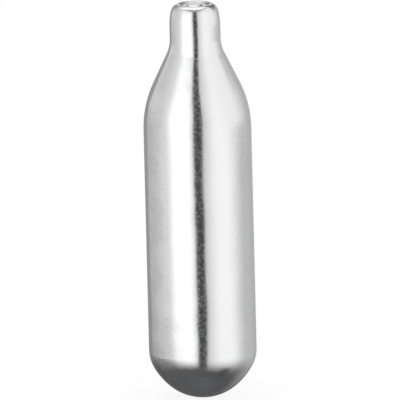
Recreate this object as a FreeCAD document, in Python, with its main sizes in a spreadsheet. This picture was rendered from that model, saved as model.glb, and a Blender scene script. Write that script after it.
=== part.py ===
import FreeCAD, Part
import math
import os
import Sketcher

# Disposable gas charger: a small high-pressure capsule of drawn steel, neck up.
# Three pieces: the drawn shell, the pressed cap that closes its mouth, and the washer under the cap.
# The capsule stands on the Z axis, with the pole of its domed base at the origin. Millimetres and degrees.

SIZES = (
    ("body_diameter", "17.6", "outside of the straight body"),
    ("wall_length", "36.7", "straight part of the body"),
    ("wall_thickness", "0.8", "drawn wall of the body"),
    ("base_thickness", "1.1", "wall at the pole of the base"),
    ("knuckle_radius", "5.8", "base, first arc, next to the body"),
    ("knuckle_angle", "29.3", "slope at which the knuckle ends"),
    ("flank_radius", "11.5", "base, second arc"),
    ("flank_angle", "48.9", "slope at which the flank ends and the nose starts"),
    ("shoulder_radius", "17.5", "outside round at the top of the body"),
    ("shoulder_angle", "25.75", "slope of the cone between shoulder and neck"),
    ("neck_fillet_radius", "5.65", "outside hollow at the root of the neck"),
    ("floor_radius", "2.6", "flat middle of the inside of the base"),
    ("inner_shoulder_radius", "15.0", "round that the inside of the shoulder follows"),
    ("inner_shoulder_angle", "28.0", "slope of the inside cone, steeper, so the wall thickens upwards"),
    ("neck_diameter", "8.3", "outside of the straight neck"),
    ("neck_length", "2.0", "straight part of the neck"),
    ("bore_diameter", "4.8", "bore of the neck"),
    ("lead_radius", "13.1", "long round where the rim starts to lean in"),
    ("lead_angle", "9.2", "slope at which the long round ends"),
    ("rim_radius", "3.1", "outside round of the rim"),
    ("rim_angle", "34.6", "slope at which the rim turns over into the lip"),
    ("lip_radius", "0.8", "outside round of the rolled lip"),
    ("lip_curl", "31.2", "how far past its crest the lip is rolled, down into the mouth"),
    ("lip_thickness", "0.5", "rim thinned by the seat and rolled over the cap"),
    ("cap_height", "1.6", "sealing cap, flange to foot of its skirt"),
    ("cap_sheet", "0.4", "sheet that the cap is pressed from"),
    ("crown_height", "0.33", "how far the cap's crown stands up in the mouth"),
    ("crown_gap", "0.27", "groove left round the crown, inside the lip"),
    ("centre_diameter", "2.6", "thin centre of the crown, where the pin goes through"),
    ("centre_height", "0.15", "how far the thin centre is raised"),
    ("centre_sheet", "0.25", "thickness of the thin centre"),
    ("ring_thickness", "0.6", "sealing ring"),
    ("seat_clearance", "0.03", "gap between the lip, the cap and the ring"),
)

# Sizes that follow from the ones above: radii, and levels above the pole of the base.
LEVELS = (
    ("body_radius", "Sizes.body_diameter / 2"),
    ("neck_radius", "Sizes.neck_diameter / 2"),
    ("knuckle_reach", "(Sizes.knuckle_radius - Sizes.flank_radius) * cos(Sizes.knuckle_angle)"),
    (
        "nose_radius",
        "Sizes.flank_radius + (body_radius - Sizes.knuckle_radius + knuckle_reach) / cos(Sizes.flank_angle)",
    ),
    (
        "base_depth",
        "nose_radius + (Sizes.flank_radius - nose_radius) * sin(Sizes.flank_angle)"
        " + (Sizes.knuckle_radius - Sizes.flank_radius) * sin(Sizes.knuckle_angle)",
    ),
    ("shoulder_level", "base_depth + Sizes.wall_length"),
    ("shoulder_rounds", "Sizes.shoulder_radius + Sizes.neck_fillet_radius"),
    (
        "cone_length",
        "(body_radius - neck_radius - shoulder_rounds * (1 - cos(Sizes.shoulder_angle)))"
        " / sin(Sizes.shoulder_angle)",
    ),
    (
        "neck_level",
        "shoulder_level + shoulder_rounds * sin(Sizes.shoulder_angle)"
        " + cone_length * cos(Sizes.shoulder_angle)",
    ),
    (
        "rim_centre_radius",
        "neck_radius - Sizes.lead_radius + (Sizes.lead_radius - Sizes.rim_radius) * cos(Sizes.lead_angle)",
    ),
    (
        "rim_centre_level",
        "neck_level + Sizes.neck_length + (Sizes.lead_radius - Sizes.rim_radius) * sin(Sizes.lead_angle)",
    ),
    ("crest_radius", "rim_centre_radius + (Sizes.rim_radius - Sizes.lip_radius) * cos(Sizes.rim_angle)"),
    (
        "top_level",
        "rim_centre_level + (Sizes.rim_radius - Sizes.lip_radius) * sin(Sizes.rim_angle) + Sizes.lip_radius",
    ),
    ("mouth_radius", "crest_radius - Sizes.lip_radius * sin(Sizes.lip_curl)"),
    ("inner_radius", "body_radius - Sizes.wall_thickness"),
    ("nose_corner_radius", "(nose_radius - Sizes.wall_thickness) * cos(Sizes.flank_angle)"),
    ("nose_corner_level", "nose_radius - (nose_radius - Sizes.wall_thickness) * sin(Sizes.flank_angle)"),
    (
        "flank_corner_radius",
        "inner_radius - (Sizes.knuckle_radius - Sizes.wall_thickness) * (1 - cos(Sizes.knuckle_angle))",
    ),
    (
        "flank_corner_level",
        "base_depth - (Sizes.knuckle_radius - Sizes.wall_thickness) * sin(Sizes.knuckle_angle)",
    ),
    ("bore_radius", "Sizes.bore_diameter / 2"),
    ("shoulder_half_side", "Sizes.inner_shoulder_radius * tan(Sizes.inner_shoulder_angle / 4)"),
    ("wall_corner_level", "shoulder_level + shoulder_half_side"),
    (
        "shoulder_corner_radius",
        "inner_radius - 2 * shoulder_half_side * sin(Sizes.inner_shoulder_angle / 2)",
    ),
    (
        "shoulder_corner_level",
        "wall_corner_level + 2 * shoulder_half_side * cos(Sizes.inner_shoulder_angle / 2)",
    ),
    (
        "throat_level",
        "shoulder_corner_level + (shoulder_corner_radius - bore_radius) / tan(Sizes.inner_shoulder_angle)",
    ),
    ("cap_depth", "Sizes.lip_thickness + Sizes.seat_clearance"),
    ("flange_level", "top_level - cap_depth"),
    ("crown_radius", "mouth_radius - Sizes.crown_gap"),
    ("crown_level", "flange_level + Sizes.crown_height"),
    ("centre_radius", "Sizes.centre_diameter / 2"),
    ("centre_level", "crown_level + Sizes.centre_height"),
    ("cap_foot", "flange_level - Sizes.cap_height"),
    ("seat_level", "cap_foot - Sizes.ring_thickness"),
    ("hollow_round", "Sizes.rim_radius - cap_depth - Sizes.cap_sheet"),
    ("hollow_rim_radius", "rim_centre_radius + hollow_round * cos(Sizes.lead_angle)"),
    ("hollow_rim_level", "rim_centre_level + hollow_round * sin(Sizes.lead_angle)"),
    ("hollow_foot_radius", "hollow_rim_radius + (hollow_rim_level - cap_foot) * tan(Sizes.lead_angle)"),
    (
        "seat_rim_radius",
        "rim_centre_radius + (Sizes.rim_radius - Sizes.lip_thickness) / cos(Sizes.lead_angle)"
        " - (cap_foot - rim_centre_level) * tan(Sizes.lead_angle)",
    ),
)

CUT_MARGIN = 1.0
VOLUME_SLACK = 0.001

# How the sketcher numbers the points of a stroke, and its own origin and upright axis.
START, END, CENTRE = 1, 2, 3
ORIGIN, UPRIGHT_AXIS = -1, -2


def fill_sheets(document):
    """Put the driving sizes in one sheet and what follows from them in another."""
    sizes = document.addObject("Spreadsheet::Sheet", "Sizes")
    for row, (alias, value, meaning) in enumerate(SIZES, start=1):
        sizes.set(f"A{row}", meaning)
        sizes.set(f"B{row}", value)
        sizes.setAlias(f"B{row}", alias)
    document.recompute()
    levels = document.addObject("Spreadsheet::Sheet", "Levels")
    for row, (alias, formula) in enumerate(LEVELS, start=1):
        levels.set(f"B{row}", "=" + formula)
        levels.setAlias(f"B{row}", alias)
        document.recompute()


class Section:
    """A closed half-section in the XZ plane, drawn stroke by stroke from a point on the axis.

    Every stroke is tied to the sheets: radii, sweeps, lengths and levels are bound constraints.
    """

    def __init__(self, body, name, start_level):
        self.sketch = body.newObject("Sketcher::SketchObject", name)
        plane = next(item for item in body.Origin.OriginFeatures if item.Role == "XZ_Plane")
        self.sketch.AttachmentSupport = (plane, [""])
        self.sketch.MapMode = "FlatFace"
        self.start_level = start_level
        self.point = FreeCAD.Vector(0, self.value(start_level), 0)
        self.heading = 0.0
        self.first = None
        self.last = None

    def value(self, formula):
        return float(self.sketch.evalExpression(formula))

    def bind(self, constraint, name, formula):
        index = self.sketch.addConstraint(constraint)
        self.sketch.renameConstraint(index, name)
        self.sketch.setExpression(f"Constraints.{name}", formula)

    def place(self, direction, stroke, point, name, formula):
        """Hold one coordinate of a point, measured from the origin."""
        constraint = Sketcher.Constraint(direction, ORIGIN, START, stroke, point, self.value(formula))
        self.bind(constraint, name, formula)

    def join(self, stroke, near_end, far_end, end, smooth):
        """Tie a new stroke to the one before it, or the first stroke to the axis."""
        if self.last is None:
            self.first = (stroke, near_end)
            self.sketch.addConstraint(Sketcher.Constraint("PointOnObject", stroke, near_end, UPRIGHT_AXIS))
            self.place("DistanceY", stroke, near_end, "start", self.start_level)
        else:
            kind = "Tangent" if smooth else "Coincident"
            self.sketch.addConstraint(Sketcher.Constraint(kind, *self.last, stroke, near_end))
        self.last = (stroke, far_end)
        self.point = end

    def line(self, end, smooth):
        stroke = self.sketch.addGeometry(Part.LineSegment(self.point, end), False)
        direction = end - self.point
        self.heading = math.degrees(math.atan2(direction.y, direction.x))
        self.join(stroke, START, END, end, smooth)
        return stroke

    def arc(self, name, radius, sweep, turn):
        """An arc tangent to the stroke before it; turn is 1 to the left and -1 to the right."""
        radius_now = self.value(radius)
        sweep_now = self.value(sweep)
        outward = math.radians(self.heading - turn * 90)
        spoke = FreeCAD.Vector(math.cos(outward), math.sin(outward), 0)
        centre = self.point - spoke * radius_now
        far_angle = outward + math.radians(turn * sweep_now)
        end = centre + FreeCAD.Vector(math.cos(far_angle), math.sin(far_angle), 0) * radius_now
        circle = Part.Circle(centre, FreeCAD.Vector(0, 0, 1), radius_now)
        angles = (outward, far_angle) if turn > 0 else (far_angle, outward)
        stroke = self.sketch.addGeometry(Part.ArcOfCircle(circle, *angles), False)
        near_end, far_end = (START, END) if turn > 0 else (END, START)
        self.join(stroke, near_end, far_end, end, smooth=True)
        if stroke == self.first[0]:
            self.sketch.addConstraint(Sketcher.Constraint("PointOnObject", stroke, CENTRE, UPRIGHT_AXIS))
        self.heading += turn * sweep_now
        self.bind(Sketcher.Constraint("Radius", stroke, radius_now), f"{name}_radius", radius)
        self.bind(Sketcher.Constraint("Angle", stroke, math.radians(sweep_now)), f"{name}_sweep", sweep)

    def along(self, name, length):
        """A straight stroke of a given length, tangent to the arc before it."""
        length_now = self.value(length)
        angle = math.radians(self.heading)
        end = self.point + FreeCAD.Vector(math.cos(angle), math.sin(angle), 0) * length_now
        stroke = self.line(end, smooth=True)
        self.bind(Sketcher.Constraint("Distance", stroke, length_now), f"{name}_length", length)

    def across(self, name, radius):
        """A level stroke to a given radius."""
        stroke = self.line(FreeCAD.Vector(self.value(radius), self.point.y, 0), smooth=False)
        self.sketch.addConstraint(Sketcher.Constraint("Horizontal", stroke))
        self.place("DistanceX", stroke, END, f"{name}_radius", radius)

    def upright(self, name, level):
        """A vertical stroke to a given level."""
        stroke = self.line(FreeCAD.Vector(self.point.x, self.value(level), 0), smooth=False)
        self.sketch.addConstraint(Sketcher.Constraint("Vertical", stroke))
        self.place("DistanceY", stroke, END, f"{name}_level", level)

    def straight(self, name, radius, level):
        """A straight stroke to a given radius and level."""
        stroke = self.line(FreeCAD.Vector(self.value(radius), self.value(level), 0), smooth=False)
        self.place("DistanceX", stroke, END, f"{name}_radius", radius)
        self.place("DistanceY", stroke, END, f"{name}_level", level)

    def close(self):
        """A level stroke to the axis, then one along the axis back to the start."""
        stroke = self.line(FreeCAD.Vector(0, self.point.y, 0), smooth=False)
        self.sketch.addConstraint(Sketcher.Constraint("Horizontal", stroke))
        self.sketch.addConstraint(Sketcher.Constraint("PointOnObject", stroke, END, UPRIGHT_AXIS))
        start = FreeCAD.Vector(0, self.value(self.start_level), 0)
        stroke = self.line(start, smooth=False)
        self.sketch.addConstraint(Sketcher.Constraint("Coincident", stroke, END, *self.first))
        return self.sketch


def revolved(body, kind, name, sketch):
    """Turn a half-section once round the axis. Returns how much the volume of the body changed."""
    before = body.Shape.Volume if body.Tip else 0.0
    feature = body.newObject(f"PartDesign::{kind}", name)
    feature.Profile = sketch
    feature.ReferenceAxis = (sketch, ["V_Axis"])
    feature.Angle = 360
    body.Document.recompute()
    return feature.Shape.Volume - before


def turned(body, name, sketch):
    """Add the solid that a half-section sweeps out."""
    if revolved(body, "Revolution", name, sketch) < VOLUME_SLACK:
        raise RuntimeError(f"{name} added nothing")


def bored(body, name, sketch):
    """Cut away the solid that a half-section sweeps out."""
    if revolved(body, "Groove", name, sketch) > -VOLUME_SLACK:
        raise RuntimeError(f"{name} cut nothing")


def crimped(body, name, depth, foot):
    """The form that the rim is rolled to, at a depth under its outside: flat in the middle, then sloping
    down and out to the foot. It is never seen, so its strokes are straight, and they meet where the outside
    changes from one arc to the next.
    """
    rounding = f"(Sizes.rim_radius - {depth})"
    section = Section(body, name, f"Levels.top_level - {depth}")
    section.across("flat", "Levels.crest_radius")
    for corner in ("rim", "lead"):
        section.straight(
            corner,
            f"Levels.rim_centre_radius + {rounding} * cos(Sizes.{corner}_angle)",
            f"Levels.rim_centre_level + {rounding} * sin(Sizes.{corner}_angle)",
        )
    section.straight(
        "foot",
        f"Levels.rim_centre_radius + {rounding} / cos(Sizes.lead_angle)"
        f" - ({foot} - Levels.rim_centre_level) * tan(Sizes.lead_angle)",
        foot,
    )
    return section.close()


def capsule_shell(document):
    """The drawn body, solid first, then its gas space, neck bore, seat and mouth."""
    body = document.addObject("PartDesign::Body", "CapsuleShell")
    body.Label = "capsule_shell"

    outside = Section(body, "OutsideSection", "0")
    outside.arc("nose", "Levels.nose_radius", "90 - Sizes.flank_angle", turn=1)
    outside.arc("flank", "Sizes.flank_radius", "Sizes.flank_angle - Sizes.knuckle_angle", turn=1)
    outside.arc("knuckle", "Sizes.knuckle_radius", "Sizes.knuckle_angle", turn=1)
    outside.along("wall", "Sizes.wall_length")
    outside.arc("shoulder", "Sizes.shoulder_radius", "Sizes.shoulder_angle", turn=1)
    outside.along("cone", "Levels.cone_length")
    outside.arc("neck_fillet", "Sizes.neck_fillet_radius", "Sizes.shoulder_angle", turn=-1)
    outside.along("neck", "Sizes.neck_length")
    outside.arc("lead", "Sizes.lead_radius", "Sizes.lead_angle", turn=1)
    outside.arc("rim", "Sizes.rim_radius", "Sizes.rim_angle - Sizes.lead_angle", turn=1)
    outside.arc("lip", "Sizes.lip_radius", "90 - Sizes.rim_angle + Sizes.lip_curl", turn=1)
    turned(body, "Outside", outside.close())

    # The inside, which is never seen, keeps the wall's thickness with straight strokes between the
    # points where the outside changes from one arc to the next.
    inside = Section(body, "InsideSection", "Sizes.base_thickness")
    inside.across("floor", "Sizes.floor_radius")
    inside.straight("nose", "Levels.nose_corner_radius", "Levels.nose_corner_level")
    inside.straight("flank", "Levels.flank_corner_radius", "Levels.flank_corner_level")
    inside.straight("knuckle", "Levels.inner_radius", "Levels.base_depth")
    inside.upright("wall", "Levels.wall_corner_level")
    inside.straight("shoulder", "Levels.shoulder_corner_radius", "Levels.shoulder_corner_level")
    inside.straight("throat", "Levels.bore_radius", "Levels.throat_level")
    inside.upright("bore", "Levels.seat_level")
    bored(body, "GasSpace", inside.close())

    bored(body, "Seat", crimped(body, "SeatSection", "Sizes.lip_thickness", "Levels.seat_level"))

    mouth = Section(body, "MouthSection", "Levels.flange_level")
    mouth.across("mouth", "Levels.mouth_radius")
    mouth.upright("clear", f"Levels.top_level + {CUT_MARGIN}")
    bored(body, "Mouth", mouth.close())
    return body


def sealing_cap(document):
    """The pressed cup whose flange the lip holds down, with a crown that stands up in the mouth.

    The pin goes through the thin centre of the crown.
    """
    body = document.addObject("PartDesign::Body", "SealingCap")
    body.Label = "sealing_cap"
    turned(body, "Flange", crimped(body, "FlangeSection", "Levels.cap_depth", "Levels.cap_foot"))

    crown = Section(body, "CrownSection", "Levels.flange_level")
    crown.across("crown", "Levels.crown_radius")
    crown.upright("side", "Levels.crown_level")
    crown.across("centre", "Levels.centre_radius")
    crown.upright("step", "Levels.centre_level")
    turned(body, "Crown", crown.close())

    hollow = Section(body, "HollowSection", "Levels.centre_level - Sizes.centre_sheet")
    hollow.across("centre", "Levels.centre_radius - Sizes.centre_sheet")
    hollow.upright("step", "Levels.crown_level - Sizes.cap_sheet")
    hollow.across("crown", "Levels.crown_radius - Sizes.cap_sheet")
    hollow.upright("side", "Levels.flange_level - Sizes.cap_sheet")
    hollow.across("flange", "Levels.crest_radius")
    hollow.straight("rim", "Levels.hollow_rim_radius", "Levels.hollow_rim_level")
    hollow.straight("foot", "Levels.hollow_foot_radius", "Levels.cap_foot")
    bored(body, "Hollow", hollow.close())
    return body


def sealing_ring(document):
    """The soft washer that the foot of the cap is pressed into, on the seat of the neck."""
    body = document.addObject("PartDesign::Body", "SealingRing")
    body.Label = "sealing_ring"
    disc = Section(body, "RingSection", "Levels.seat_level")
    disc.across("outside", "Levels.seat_rim_radius - Sizes.seat_clearance")
    disc.upright("top", "Levels.cap_foot")
    turned(body, "Disc", disc.close())

    hole = Section(body, "HoleSection", f"Levels.seat_level - {CUT_MARGIN}")
    hole.across("hole", "Levels.bore_radius")
    hole.upright("clear", f"Levels.cap_foot + {CUT_MARGIN}")
    bored(body, "Hole", hole.close())
    return body


def check(document, pieces):
    """Stop if any object of the document failed, or if a piece is not one valid solid."""
    for item in document.Objects:
        if "Invalid" in item.State or "Error" in item.State:
            raise RuntimeError(f"{item.Label} failed: {item.State}")
    for piece in pieces:
        if piece.Shape.isNull() or not piece.Shape.isValid() or len(piece.Shape.Solids) != 1:
            raise RuntimeError(f"{piece.Label} is not one valid solid")


def main():
    document = FreeCAD.newDocument("GasCharger")
    fill_sheets(document)
    pieces = [capsule_shell(document), sealing_cap(document), sealing_ring(document)]
    document.recompute()
    check(document, pieces)
    os.makedirs("parts", exist_ok=True)
    for piece in pieces:
        piece.Shape.exportStep(os.path.join("parts", f"{piece.Label}.step"))
        print(f"{piece.Label}: {piece.Shape.Volume:.1f} mm3")


main()
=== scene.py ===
"""Looks of a disposable gas charger: a drawn steel capsule, plated and tumbled, standing on its dome.

The shell and the cap are drawn again here, finely and with their small rounds, on the same sizes as their
solids. The washer under the cap keeps its solid. Pieces are drawn in millimetres and scaled at the end.
"""

import math

import bmesh
import bpy
from mathutils import Matrix, Vector


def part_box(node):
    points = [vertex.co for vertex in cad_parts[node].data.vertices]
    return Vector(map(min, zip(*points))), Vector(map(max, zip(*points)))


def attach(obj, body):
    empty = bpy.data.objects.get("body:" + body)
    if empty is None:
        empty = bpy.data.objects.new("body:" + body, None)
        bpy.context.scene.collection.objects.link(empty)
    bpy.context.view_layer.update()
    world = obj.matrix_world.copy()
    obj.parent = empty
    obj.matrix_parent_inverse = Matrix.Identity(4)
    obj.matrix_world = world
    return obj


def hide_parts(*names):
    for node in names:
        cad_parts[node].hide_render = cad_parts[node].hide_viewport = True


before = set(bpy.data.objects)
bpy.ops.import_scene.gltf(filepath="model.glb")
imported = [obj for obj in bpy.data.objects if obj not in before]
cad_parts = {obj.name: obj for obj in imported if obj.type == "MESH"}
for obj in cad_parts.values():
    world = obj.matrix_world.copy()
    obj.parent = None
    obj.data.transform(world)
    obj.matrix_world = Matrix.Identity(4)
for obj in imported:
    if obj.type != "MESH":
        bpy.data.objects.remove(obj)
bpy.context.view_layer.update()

MM = 0.001
LEFT, RIGHT = 1, -1
ROOT = "root"

# Outside of the shell, millimetres and degrees.
BODY_RADIUS = 8.8
WALL_LENGTH = 36.7
KNUCKLE_RADIUS, KNUCKLE_ANGLE = 5.8, 29.3
FLANK_RADIUS, FLANK_ANGLE = 11.5, 48.9
SHOULDER_RADIUS, SHOULDER_ANGLE = 17.5, 25.75
NECK_FILLET_RADIUS = 5.65
NECK_RADIUS, NECK_LENGTH = 4.15, 2.0
LEAD_RADIUS, LEAD_ANGLE = 13.1, 9.2
RIM_RADIUS, RIM_ANGLE = 3.1, 34.6
LIP_RADIUS, LIP_CURL = 0.8, 31.2
LIP_THICKNESS = 0.5
MOUTH_ROUND = 0.08

# Inside of the shell, the cap and the washer's seat.
WALL, BASE_WALL = 0.8, 1.1
INNER_SHOULDER_RADIUS, INNER_SHOULDER_ANGLE = 15.0, 28.0
BORE_RADIUS = 2.4
RING_THICKNESS = 0.6
SEAT_CLEARANCE = 0.03
CAP_HEIGHT, CAP_SHEET = 1.6, 0.4
CROWN_HEIGHT, CROWN_GAP, CROWN_ROUND = 0.33, 0.27, 0.2
CENTRE_RADIUS, CENTRE_HEIGHT, CENTRE_SHEET, CENTRE_ROUND = 1.3, 0.15, 0.25, 0.2

# What follows from them.
NOSE_RADIUS = FLANK_RADIUS + (
    BODY_RADIUS - KNUCKLE_RADIUS + (KNUCKLE_RADIUS - FLANK_RADIUS) * math.cos(math.radians(KNUCKLE_ANGLE))
) / math.cos(math.radians(FLANK_ANGLE))
CONE_LENGTH = (
    BODY_RADIUS
    - NECK_RADIUS
    - (SHOULDER_RADIUS + NECK_FILLET_RADIUS) * (1 - math.cos(math.radians(SHOULDER_ANGLE)))
) / math.sin(math.radians(SHOULDER_ANGLE))
RIM_CENTRE_RADIUS = (
    NECK_RADIUS - LEAD_RADIUS + (LEAD_RADIUS - RIM_RADIUS) * math.cos(math.radians(LEAD_ANGLE))
)
CREST_RADIUS = RIM_CENTRE_RADIUS + (RIM_RADIUS - LIP_RADIUS) * math.cos(math.radians(RIM_ANGLE))
MOUTH_RADIUS = CREST_RADIUS - LIP_RADIUS * math.sin(math.radians(LIP_CURL))

# How finely the pieces are drawn.
STEPS_AROUND = 256
DEGREES_PER_STEP = 3.0
WELD = 0.0005
SHARP_FROM = 40.0

# The camera looks slightly down, and leans a little, so that the capsule's top stands to the left. It aims
# at a point just right of the axis, where its view is SEEN_ACROSS wide. Millimetres and degrees.
CAMERA_ELEVATION = 11.2
CAMERA_LEAN = 1.4175
LENS, SENSOR = 1500.0, 36.0
SEEN_ACROSS = 65.29
AIM_LEVEL, AIM_RIGHT = 32.73, 0.133
CLIP_NEAR, CLIP_FAR = 10.0, 10000.0


# ---------------------------------------------------------------- shapes


def on_circle(angle):
    """The direction at an angle above the outward one, in the plane of a half-section."""
    return Vector((math.cos(math.radians(angle)), 0, math.sin(math.radians(angle))))


class Outline:
    """A half-section in the XZ plane: its tip is extruded along straight strokes and spun along arcs."""

    def __init__(self, radius, level, heading):
        self.mesh = bmesh.new()
        self.tip = self.mesh.verts.new((radius, 0, level))
        self.heading = heading

    def line(self, length):
        grown = bmesh.ops.extrude_vert_indiv(self.mesh, verts=[self.tip])
        self.tip = grown["verts"][0]
        bmesh.ops.translate(self.mesh, verts=[self.tip], vec=on_circle(self.heading) * length)

    def line_to(self, radius, level):
        step = Vector((radius, 0, level)) - self.tip.co
        self.heading = math.degrees(math.atan2(step.z, step.x))
        self.line(step.length)

    def arc(self, radius, sweep, side):
        """An arc that starts along the last stroke and bends to one side."""
        centre = self.tip.co + on_circle(self.heading + side * 90) * radius
        bent = bmesh.ops.spin(
            self.mesh,
            geom=[self.tip],
            cent=centre,
            axis=(0, -side, 0),
            angle=math.radians(sweep),
            steps=max(2, math.ceil(sweep / DEGREES_PER_STEP)),
        )
        self.tip = bent["geom_last"][0]
        self.heading += side * sweep


def object_of(mesh, name):
    """Scale a mesh from millimetres and put it in the scene, at the origin."""
    bmesh.ops.scale(mesh, verts=mesh.verts, vec=(MM, MM, MM))
    data = bpy.data.meshes.new(name)
    mesh.to_mesh(data)
    mesh.free()
    made = bpy.data.objects.new(name, data)
    bpy.context.scene.collection.objects.link(made)
    return made


def turned(outline, name):
    """Spin an outline once round the axis and make a piece of it."""
    mesh = outline.mesh
    bmesh.ops.spin(
        mesh,
        geom=mesh.verts[:] + mesh.edges[:],
        cent=(0, 0, 0),
        axis=(0, 0, 1),
        angle=2 * math.pi,
        steps=STEPS_AROUND,
        use_merge=True,
    )
    bmesh.ops.remove_doubles(mesh, verts=mesh.verts, dist=WELD)
    bmesh.ops.recalc_face_normals(mesh, faces=mesh.faces)
    for face in mesh.faces:
        face.smooth = True
    piece = object_of(mesh, name)
    piece.data.set_sharp_from_angle(angle=math.radians(SHARP_FROM))
    return piece


def drawn_shell():
    """The capsule: domed base, straight wall, shoulder, neck and a lip rolled in over the cap."""
    outline = Outline(0, 0, 0)
    outline.arc(NOSE_RADIUS, 90 - FLANK_ANGLE, LEFT)
    outline.arc(FLANK_RADIUS, FLANK_ANGLE - KNUCKLE_ANGLE, LEFT)
    outline.arc(KNUCKLE_RADIUS, KNUCKLE_ANGLE, LEFT)
    outline.line(WALL_LENGTH)
    shoulder_level = outline.tip.co.z
    outline.arc(SHOULDER_RADIUS, SHOULDER_ANGLE, LEFT)
    outline.line(CONE_LENGTH)
    outline.arc(NECK_FILLET_RADIUS, SHOULDER_ANGLE, RIGHT)
    outline.line(NECK_LENGTH)
    outline.arc(LEAD_RADIUS, LEAD_ANGLE, LEFT)
    outline.arc(RIM_RADIUS, RIM_ANGLE - LEAD_ANGLE, LEFT)
    outline.arc(LIP_RADIUS, 90 - RIM_ANGLE, LEFT)
    crest_level = outline.tip.co.z

    # The curl of the lip passes into the small round of the mouth where both have the same slope.
    curl = math.degrees(
        math.asin((CREST_RADIUS - MOUTH_ROUND - MOUTH_RADIUS) / (LIP_RADIUS - MOUTH_ROUND))
    )
    outline.arc(LIP_RADIUS, curl, LEFT)
    outline.arc(MOUTH_ROUND, 90 - curl, LEFT)

    # Under the lip the pocket follows the cap, down to the seat of the washer.
    underside = crest_level - LIP_THICKNESS
    seat = underside - SEAT_CLEARANCE - CAP_HEIGHT - RING_THICKNESS
    outline.line_to(MOUTH_RADIUS, underside)
    outline.line_to(CREST_RADIUS, underside)
    outline.arc(LIP_RADIUS - LIP_THICKNESS, 90 - RIM_ANGLE, RIGHT)
    outline.arc(RIM_RADIUS - LIP_THICKNESS, RIM_ANGLE - LEAD_ANGLE, RIGHT)
    outline.line((outline.tip.co.z - seat) / math.cos(math.radians(LEAD_ANGLE)))
    outline.line_to(BORE_RADIUS, seat)

    # The gas space: a throat, a shoulder whose steel thickens towards the neck, an even wall, a flat floor.
    inner_radius = BODY_RADIUS - WALL
    slope = math.radians(INNER_SHOULDER_ANGLE)
    slope_length = (
        inner_radius - BORE_RADIUS - INNER_SHOULDER_RADIUS * (1 - math.cos(slope))
    ) / math.sin(slope)
    slope_foot = shoulder_level + INNER_SHOULDER_RADIUS * math.sin(slope)
    outline.line_to(BORE_RADIUS, slope_foot + slope_length * math.cos(slope))
    outline.heading += INNER_SHOULDER_ANGLE
    outline.line(slope_length)
    outline.arc(INNER_SHOULDER_RADIUS, INNER_SHOULDER_ANGLE, RIGHT)
    outline.line(WALL_LENGTH)
    outline.arc(KNUCKLE_RADIUS - WALL, KNUCKLE_ANGLE, RIGHT)
    outline.arc(FLANK_RADIUS - WALL, FLANK_ANGLE - KNUCKLE_ANGLE, RIGHT)
    floor_edge = math.degrees(math.acos((NOSE_RADIUS - BASE_WALL) / (NOSE_RADIUS - WALL)))
    outline.arc(NOSE_RADIUS - WALL, 90 - FLANK_ANGLE - floor_edge, RIGHT)
    outline.line_to(0, BASE_WALL)
    piece = turned(outline, "capsule_shell_skin")
    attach(piece, ROOT)
    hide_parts("capsule_shell")
    return piece


def pressed_cap():
    """The cup that closes the mouth: a flange under the lip, and a crown that stands up in the mouth,
    with the thin centre that the pin goes through raised a little in its middle."""
    low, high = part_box("sealing_cap")
    centre_top = high.z / MM
    cap_foot = low.z / MM
    crown_radius = MOUTH_RADIUS - CROWN_GAP
    crown_top = centre_top - CENTRE_HEIGHT
    flange = crown_top - CROWN_HEIGHT
    inset = LIP_THICKNESS + SEAT_CLEARANCE

    outline = Outline(0, centre_top, 0)
    bend = math.degrees(math.acos(1 - CENTRE_HEIGHT / 2 / CENTRE_ROUND))
    outline.line(CENTRE_RADIUS - CENTRE_ROUND * math.sin(math.radians(bend)))
    outline.arc(CENTRE_ROUND, bend, RIGHT)
    outline.arc(CENTRE_ROUND, bend, LEFT)
    outline.line_to(crown_radius - CROWN_ROUND, crown_top)
    outline.arc(CROWN_ROUND, 90, RIGHT)
    outline.line_to(crown_radius, flange)
    outline.line_to(CREST_RADIUS, flange)
    outline.arc(LIP_RADIUS - inset, 90 - RIM_ANGLE, RIGHT)
    outline.arc(RIM_RADIUS - inset, RIM_ANGLE - LEAD_ANGLE, RIGHT)
    outer_rim = outline.tip.co.copy()
    outline.line((outer_rim.z - cap_foot) / math.cos(math.radians(LEAD_ANGLE)))

    # The inside follows at the sheet's thickness. Nobody sees it, so its corners stay plain.
    inner_rim = outer_rim - on_circle(LEAD_ANGLE) * CAP_SHEET
    slope = math.tan(math.radians(LEAD_ANGLE))
    outline.line_to(inner_rim.x + (inner_rim.z - cap_foot) * slope, cap_foot)
    outline.line_to(inner_rim.x, inner_rim.z)
    outline.line_to(CREST_RADIUS, flange - CAP_SHEET)
    outline.line_to(crown_radius - CAP_SHEET, flange - CAP_SHEET)
    outline.line_to(crown_radius - CAP_SHEET, crown_top - CAP_SHEET)
    outline.line_to(CENTRE_RADIUS - CENTRE_SHEET, crown_top - CAP_SHEET)
    outline.line_to(CENTRE_RADIUS - CENTRE_SHEET, centre_top - CENTRE_SHEET)
    outline.line_to(0, centre_top - CENTRE_SHEET)
    piece = turned(outline, "sealing_cap_skin")
    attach(piece, ROOT)
    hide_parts("sealing_cap")
    return piece


# ---------------------------------------------------------------- materials


def linear(hex_colour):
    """An sRGB hex colour as the linear numbers that a shader takes."""
    parts = [int(hex_colour[at : at + 2], 16) / 255 for at in (1, 3, 5)]
    return [((part + 0.055) / 1.055) ** 2.4 if part > 0.04045 else part / 12.92 for part in parts] + [1.0]


def add(tree, kind, inputs=None, **settings):
    """Add a node with its settings. An input is a plain value, or the output of another node to link."""
    node = tree.nodes.new(kind)
    for name, value in settings.items():
        setattr(node, name, value)
    for name, value in (inputs or {}).items():
        if isinstance(value, bpy.types.NodeSocket):
            tree.links.new(value, node.inputs[name])
        else:
            node.inputs[name].default_value = value
    return node


def empty_material(name):
    made = bpy.data.materials.new(name)
    made.use_nodes = True
    made.node_tree.nodes.clear()
    return made, made.node_tree


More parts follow.
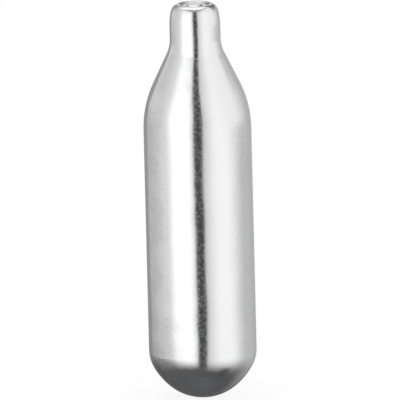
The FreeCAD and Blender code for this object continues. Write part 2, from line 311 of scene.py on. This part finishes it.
# A wave texture of scale 1 has this many waves to the metre.
WAVES_PER_UNIT = 20 / (2 * math.pi)

# Marks of the finishes, millimetres: how far apart they are, and how high they stand.
BULGE_SPACING, BULGE_HEIGHT = 7.0, 0.16
RIPPLE_SPACING, RIPPLE_HEIGHT = 1.6, 0.003
GRAIN_SPACING, GRAIN_HEIGHT = 0.36, 0.0012
SCRATCH_SPACING, SCRATCH_HEIGHT = 0.28, 0.026
SCUFF_SPACING = 4.0
PRESS_RING_SPACING, PRESS_RING_HEIGHT = 0.25, 0.0015
CLOUD_SPACING = 1.2

# The shifts choose where bulges and scuffs fall. Scuffs begin left of the axis, and are full further out.
# Scratches are drawn out sideways, and slant by this many degrees.
BULGE_SHIFT = (13.7, 7.1, 3.3)
SCUFF_SHIFT = (8.0, 0.0, -26.0)
SCUFFS_BEGIN, SCUFFS_FULL = -2.5, -6.5
SCRATCH_SLANT, SCRATCH_STRETCH = 28.0, 2.0


def per_metre(millimetres):
    """The scale of a pattern whose spots or lines are this far apart."""
    return 1 / (millimetres * MM)


def tumbled_zinc_plate():
    """Bright zinc on drawn steel, barrel tumbled: a soft mirror with small dull pits that speckle its dark
    reflections, and slow bulges left by the drawing. Its left side is scuffed in patches, by fine slanting
    scratches that also dull its tone a little. The pits and scratches of the real plate are finer than
    this, and are drawn coarse enough to show."""
    material, tree = empty_material("tumbled_zinc_plate")
    place = add(tree, "ShaderNodeTexCoord").outputs["Object"]
    bulge_place = add(
        tree, "ShaderNodeMapping",
        {"Vector": place, "Location": [distance * MM for distance in BULGE_SHIFT]},
    ).outputs["Vector"]
    bulges = add(
        tree, "ShaderNodeTexNoise",
        {"Vector": bulge_place, "Scale": per_metre(BULGE_SPACING), "Detail": 1.0},
    ).outputs["Fac"]
    ripple = add(
        tree, "ShaderNodeTexNoise",
        {"Vector": place, "Scale": per_metre(RIPPLE_SPACING), "Detail": 1.0},
    ).outputs["Fac"]
    grain = add(
        tree, "ShaderNodeTexNoise",
        {"Vector": place, "Scale": per_metre(GRAIN_SPACING), "Detail": 0.5},
    ).outputs["Fac"]

    # Scratches show on the body's left side, and most in its scuffed patches.
    slanted = add(
        tree, "ShaderNodeMapping",
        {
            "Vector": place,
            "Rotation": (math.radians(SCRATCH_SLANT), 0.0, 0.0),
            "Scale": (SCRATCH_STRETCH, SCRATCH_STRETCH, 1.0),
        },
        vector_type="TEXTURE",
    ).outputs["Vector"]
    scratches = add(
        tree, "ShaderNodeTexNoise",
        {"Vector": slanted, "Scale": per_metre(SCRATCH_SPACING), "Detail": 1.0},
    ).outputs["Fac"]
    across = add(tree, "ShaderNodeSeparateXYZ", {0: place}).outputs["X"]
    left_side = add(
        tree, "ShaderNodeMapRange",
        {
            "Value": across,
            "From Min": SCUFFS_BEGIN * MM,
            "From Max": SCUFFS_FULL * MM,
            "To Min": 0.0,
            "To Max": 1.0,
        },
    ).outputs["Result"]
    scuff_place = add(
        tree, "ShaderNodeMapping",
        {"Vector": place, "Location": [distance * MM for distance in SCUFF_SHIFT]},
    ).outputs["Vector"]
    blotches = add(
        tree, "ShaderNodeTexNoise",
        {"Vector": scuff_place, "Scale": per_metre(SCUFF_SPACING), "Detail": 1.0},
    ).outputs["Fac"]
    patches = add(
        tree, "ShaderNodeMapRange",
        {"Value": blotches, "From Min": 0.35, "From Max": 0.60, "To Min": 0.3, "To Max": 1.0},
    ).outputs["Result"]
    scuffed = add(tree, "ShaderNodeMath", {0: left_side, 1: patches}, operation="MULTIPLY").outputs[0]
    scuffs = add(tree, "ShaderNodeMath", {0: scratches, 1: scuffed}, operation="MULTIPLY").outputs[0]

    # The bulges come first, and each set of finer marks lies on those before it.
    surface = add(
        tree, "ShaderNodeBump",
        {"Height": bulges, "Strength": 1.0, "Distance": BULGE_HEIGHT * MM},
    ).outputs["Normal"]
    finer = ((ripple, RIPPLE_HEIGHT), (scuffs, SCRATCH_HEIGHT), (grain, GRAIN_HEIGHT))
    for marks, rise in finer:
        surface = add(
            tree, "ShaderNodeBump",
            {"Height": marks, "Strength": 1.0, "Distance": rise * MM, "Normal": surface},
        ).outputs["Normal"]
    pitted = add(
        tree, "ShaderNodeMapRange",
        {"Value": grain, "From Min": 0.40, "From Max": 0.62, "To Min": 0.12, "To Max": 0.20},
    ).outputs["Result"]
    plate = add(
        tree, "ShaderNodeMix",
        {0: grain, 6: linear("#DFDFE0"), 7: linear("#E6E6E6")}, data_type="RGBA",
    ).outputs[2]
    worn = add(
        tree, "ShaderNodeMapRange",
        {"Value": scuffs, "From Min": 0.25, "From Max": 0.60, "To Min": 0.0, "To Max": 1.0},
    ).outputs["Result"]
    tone = add(
        tree, "ShaderNodeMix",
        {0: worn, 6: plate, 7: linear("#D8D8D9")}, data_type="RGBA",
    ).outputs[2]
    shader = add(
        tree, "ShaderNodeBsdfPrincipled",
        {"Base Color": tone, "Metallic": 1.0, "Roughness": pitted, "Normal": surface},
    )
    add(tree, "ShaderNodeOutputMaterial", {"Surface": shader.outputs["BSDF"]})
    return material


def pressed_bright_sheet():
    """Thin bright steel sheet, pressed: a soft mirror with fine dull spots, and faint rings round its
    middle from the press tool. The rings are drawn coarse enough to show."""
    material, tree = empty_material("pressed_bright_sheet")
    place = add(tree, "ShaderNodeTexCoord").outputs["Object"]
    grain = add(
        tree, "ShaderNodeTexNoise",
        {"Vector": place, "Scale": per_metre(GRAIN_SPACING), "Detail": 2.0, "Roughness": 0.6},
    ).outputs["Fac"]
    rings = add(
        tree, "ShaderNodeTexWave",
        {
            "Vector": place,
            "Scale": per_metre(PRESS_RING_SPACING) / WAVES_PER_UNIT,
            "Distortion": 1.0,
        },
        wave_type="RINGS", rings_direction="Z",
    ).outputs["Fac"]
    surface = add(
        tree, "ShaderNodeBump",
        {"Height": rings, "Strength": 1.0, "Distance": PRESS_RING_HEIGHT * MM},
    ).outputs["Normal"]
    dull = add(
        tree, "ShaderNodeMapRange",
        {"Value": grain, "From Min": 0.42, "From Max": 0.68, "To Min": 0.12, "To Max": 0.24},
    ).outputs["Result"]
    shader = add(
        tree, "ShaderNodeBsdfPrincipled",
        {"Base Color": linear("#E8E8E8"), "Metallic": 1.0, "Roughness": dull, "Normal": surface},
    )
    add(tree, "ShaderNodeOutputMaterial", {"Surface": shader.outputs["BSDF"]})
    return material


def natural_polyethylene():
    """Uncoloured polyethylene: milky, waxy and slightly cloudy."""
    material, tree = empty_material("natural_polyethylene")
    place = add(tree, "ShaderNodeTexCoord").outputs["Object"]
    cloud = add(
        tree, "ShaderNodeTexNoise",
        {"Vector": place, "Scale": per_metre(CLOUD_SPACING), "Detail": 3.0},
    ).outputs["Fac"]
    milky = add(
        tree, "ShaderNodeMix",
        {0: cloud, 6: linear("#E4E4DC"), 7: linear("#D2D2C8")}, data_type="RGBA",
    ).outputs[2]
    shader = add(
        tree, "ShaderNodeBsdfPrincipled",
        {
            "Base Color": milky,
            "Roughness": 0.45,
            "IOR": 1.51,
            "Subsurface Weight": 0.3,
            "Subsurface Scale": 0.4 * MM,
        },
    )
    add(tree, "ShaderNodeOutputMaterial", {"Surface": shader.outputs["BSDF"]})
    return material


# ---------------------------------------------------------------- studio


# The light tent is a ball round the capsule, and its angles are degrees seen from its centre. Each panel
# has a name, azimuth, half width, softness of its sides, lowest and highest elevation, softness of those
# edges, and brightness. Azimuth 0 is towards the camera and 90 to the right. A brightness of 1 is white.
# A panel lies over those named before it. A side or edge that is out of reach isn't there. The table turns
# slightly blue from one elevation down to another.
TENT_CENTRE = (0, 0, 33.0)
TENT_RADIUS = 300.0
WALL_BRIGHTNESS = 0.62
TABLE_TINT_BEGINS, TABLE_TINT_FULL = -52, -80
ALL_ROUND = 400
NO_LOWER_EDGE, NO_UPPER_EDGE = -200, 200
PANELS = (
    ("back wall", 180, 44, 20, -90, 90, 10, 0.52),
    ("ceiling", 180, ALL_ROUND, 1, 50, NO_UPPER_EDGE, 12, 1.30),
    ("gap over the camera", 0, 60, 45, 46, 59, 4, 0.18),
    ("gap over the right softbox", 85, 45, 25, 50, 64, 8, 0.45),
    ("glow beside the left softbox", -52, 38, 35, NO_LOWER_EDGE, 50, 12, 0.95),
    ("left softbox", -38, 24, 11, NO_LOWER_EDGE, 43, 8, 1.38),
    ("right softbox", 52, 33, 26, NO_LOWER_EDGE, 48, 16, 1.19),
    ("upper end of the right softbox", 86, 27, 30, -3, 52, 6, 1.09),
    ("glow behind on the left", -116, 33, 9, 2, 22, 8, 0.77),
    ("gap behind on the left", -156, 19, 3, NO_LOWER_EDGE, 34, 12, 0.36),
    ("backdrop", 180, 13, 6, 5, 17, 4, 1.05),
    ("dark over the backdrop", 180, 50, 20, 21, 37, 5, 0.36),
    ("dark card behind on the right", 142, 28, 14, 23, 52, 7, 0.17),
    ("end of the flag", 0, 9, 4, NO_LOWER_EDGE, 57, 4, 0.48),
    ("flag in front", 0, 9.5, 3, NO_LOWER_EDGE, 46.5, 3.5, 0.07),
    ("shade over the table's left", -105, 46, 38, NO_LOWER_EDGE, -20, 5, 0.345),
    ("left half of the table", -90, 95, 12, NO_LOWER_EDGE, -33.5, 17.5, 0.118),
    ("right half of the table", 90, 95, 12, NO_LOWER_EDGE, -40, 21, 0.107),
    ("box on the table", 63, 12.5, 10, NO_LOWER_EDGE, -45.5, 3, 0.09),
    ("far side of the table", -161, 40, 16, NO_LOWER_EDGE, -22, 12, 0.115),
    ("near part of the table", 0, ALL_ROUND, 1, NO_LOWER_EDGE, -74.5, 13, 0.138),
)

FLOOR_HALF = 3000.0
FLOOR_OWN_LIGHT = 0.88


def light_tent():
    """The studio that the metal mirrors, and nothing else shows: a white tent with two softboxes, glow and
    gaps beside and behind them, a backdrop, a dark card, a flag in front, and a dark, slightly blue table."""
    mesh = bmesh.new()
    bmesh.ops.create_icosphere(mesh, subdivisions=5, radius=TENT_RADIUS)
    bmesh.ops.translate(mesh, verts=mesh.verts, vec=TENT_CENTRE)
    tent = object_of(mesh, "light_tent")
    material, tree = empty_material("light_tent")
    place = add(tree, "ShaderNodeTexCoord").outputs["Object"]
    spoke = add(
        tree, "ShaderNodeVectorMath",
        {0: place, 1: [distance * MM for distance in TENT_CENTRE]}, operation="SUBTRACT",
    ).outputs["Vector"]
    direction = add(tree, "ShaderNodeVectorMath", {0: spoke}, operation="NORMALIZE").outputs["Vector"]
    parts = add(tree, "ShaderNodeSeparateXYZ", {0: direction}).outputs
    level = add(tree, "ShaderNodeMath", {0: parts["Z"]}, operation="ARCSINE").outputs[0]
    elevation = add(tree, "ShaderNodeMath", {0: level}, operation="DEGREES").outputs[0]
    flat = add(tree, "ShaderNodeCombineXYZ", {"X": parts["X"], "Y": parts["Y"]}).outputs[0]
    around = add(tree, "ShaderNodeVectorMath", {0: flat}, operation="NORMALIZE").outputs["Vector"]

    brightness = WALL_BRIGHTNESS
    for name, azimuth, half, soft, low, high, edge, value in PANELS:
        angle = math.radians(azimuth)
        facing = add(
            tree, "ShaderNodeVectorMath",
            {0: around, 1: (math.sin(angle), -math.cos(angle), 0)}, operation="DOT_PRODUCT",
        ).outputs["Value"]
        turn = add(tree, "ShaderNodeMath", {0: facing}, operation="ARCCOSINE").outputs[0]
        away = add(tree, "ShaderNodeMath", {0: turn}, operation="DEGREES").outputs[0]
        fades = (
            (elevation, low - edge, low + edge),
            (elevation, high + edge, high - edge),
            (away, half + soft, half - soft),
        )
        cover = 1.0
        for measure, clear, full in fades:
            fade = add(
                tree, "ShaderNodeMapRange",
                {"Value": measure, "From Min": clear, "From Max": full, "To Min": 0.0, "To Max": 1.0},
                interpolation_type="SMOOTHSTEP",
            ).outputs["Result"]
            cover = add(tree, "ShaderNodeMath", {0: cover, 1: fade}, operation="MULTIPLY").outputs[0]
        brightness = add(
            tree, "ShaderNodeMix",
            {0: cover, 2: brightness, 3: value}, label=name,
        ).outputs[0]

    lowness = add(
        tree, "ShaderNodeMapRange",
        {
            "Value": elevation,
            "From Min": TABLE_TINT_BEGINS,
            "From Max": TABLE_TINT_FULL,
            "To Min": 0.0,
            "To Max": 1.0,
        },
    ).outputs["Result"]
    tint = add(
        tree, "ShaderNodeMix",
        {0: lowness, 6: linear("#FFFFFF"), 7: linear("#F6F7FF")}, data_type="RGBA",
    ).outputs[2]
    glow = add(tree, "ShaderNodeEmission", {"Color": tint, "Strength": brightness})
    add(tree, "ShaderNodeOutputMaterial", {"Surface": glow.outputs["Emission"]})
    tent.data.materials.append(material)

    # It is there to be mirrored, and isn't a lamp.
    material.cycles.emission_sampling = "NONE"
    tent.visible_camera = False
    tent.visible_diffuse = False
    tent.visible_shadow = False


def pale_floor():
    """A white floor, mostly by its own light, so that the capsule's shadow on it stays soft and faint. The
    metal mirrors the dark table in its place."""
    mesh = bmesh.new()
    bmesh.ops.create_grid(mesh, x_segments=1, y_segments=1, size=FLOOR_HALF)
    floor = object_of(mesh, "pale_floor")
    material, tree = empty_material("pale_floor")
    matt = add(tree, "ShaderNodeBsdfDiffuse", {"Color": linear("#FFFFFF")})
    white = add(tree, "ShaderNodeEmission", {"Color": linear("#FFFFFF"), "Strength": 1.0})
    rays = add(tree, "ShaderNodeLightPath").outputs
    seen = 0.0
    for kind in ("Is Camera Ray", "Is Glossy Ray", "Is Transmission Ray"):
        seen = add(tree, "ShaderNodeMath", {0: seen, 1: rays[kind]}, operation="MAXIMUM").outputs[0]
    own_light = add(
        tree, "ShaderNodeMath", {0: seen, 1: FLOOR_OWN_LIGHT}, operation="MULTIPLY"
    ).outputs[0]
    mixed = add(
        tree, "ShaderNodeMixShader",
        {0: own_light, 1: matt.outputs["BSDF"], 2: white.outputs["Emission"]},
    )
    add(tree, "ShaderNodeOutputMaterial", {"Surface": mixed.outputs["Shader"]})
    floor.data.materials.append(material)
    floor.visible_glossy = False


def white_surroundings():
    """Even white light from all sides, at the level where a colour renders as it is written."""
    world = bpy.data.worlds.new("white_surroundings")
    world.use_nodes = True
    tree = world.node_tree
    tree.nodes.clear()
    light = add(tree, "ShaderNodeBackground", {"Color": linear("#FFFFFF"), "Strength": 1.0})
    add(tree, "ShaderNodeOutputWorld", {"Surface": light.outputs["Background"]})
    bpy.context.scene.world = world


def camera():
    data = bpy.data.cameras.new("camera")
    data.lens = LENS
    data.sensor_width = SENSOR
    made = bpy.data.objects.new("camera", data)
    bpy.context.scene.collection.objects.link(made)
    elevation = math.radians(CAMERA_ELEVATION)
    back = Vector((0, -math.cos(elevation), math.sin(elevation)))
    distance = SEEN_ACROSS * LENS / SENSOR
    place = Vector((AIM_RIGHT, 0, AIM_LEVEL)) + back * distance
    turn = Matrix.Rotation(math.radians(90 - CAMERA_ELEVATION), 4, "X")
    lean = Matrix.Rotation(math.radians(-CAMERA_LEAN), 4, "Z")
    made.matrix_world = Matrix.Translation(place * MM) @ turn @ lean
    data.clip_start = CLIP_NEAR * MM
    data.clip_end = CLIP_FAR * MM
    bpy.context.scene.camera = made


def main():
    camera()
    white_surroundings()
    pale_floor()
    light_tent()
    drawn_shell().data.materials.append(tumbled_zinc_plate())
    pressed_cap().data.materials.append(pressed_bright_sheet())
    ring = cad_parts["sealing_ring"]
    ring.data.materials.clear()
    ring.data.materials.append(natural_polyethylene())
    bpy.context.scene.view_settings.view_transform = "Standard"


main()
